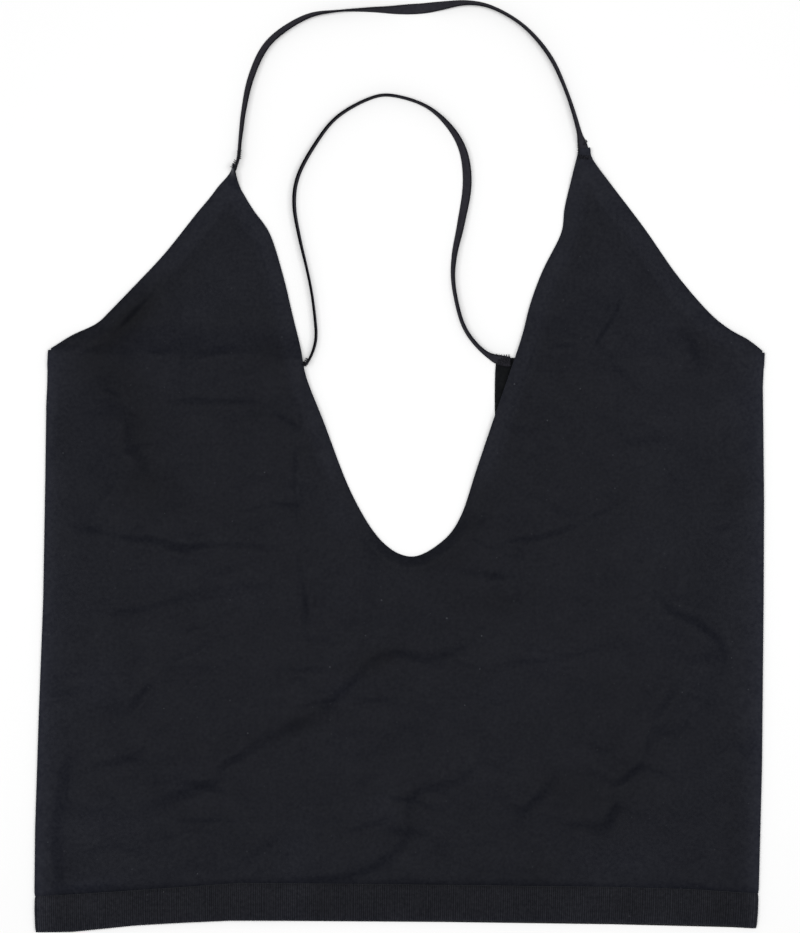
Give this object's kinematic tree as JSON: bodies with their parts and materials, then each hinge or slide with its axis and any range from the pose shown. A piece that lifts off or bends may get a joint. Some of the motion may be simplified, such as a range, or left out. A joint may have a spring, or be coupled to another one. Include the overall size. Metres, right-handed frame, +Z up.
{
  "type": "tank top laid flat",
  "caption": "Cropped seamless knit tank top lying flat, with a deep neckline, ribbed hem band and thin elastic neck and back straps.",
  "frame": {"origin": "on the surface the garment lies on, under the middle of its box", "axes": "+Z up out of the front, +Y from the hem to the straps, +X from left to right seen from above"},
  "size_m": [0.3506, 0.4477, 0.0067],
  "materials": {
    "knit": "matt fine-gauge knit with a slight sheen at grazing angles",
    "rib": "matt narrow rib knit",
    "elastic": "woven elastic tape with a soft sheen"
  },
  "bodies": {
    "root": {"body_tube": "knit", "hem_band": "rib", "neck_strap": "elastic", "back_strap": "elastic"}
  },
  "joints": []
}
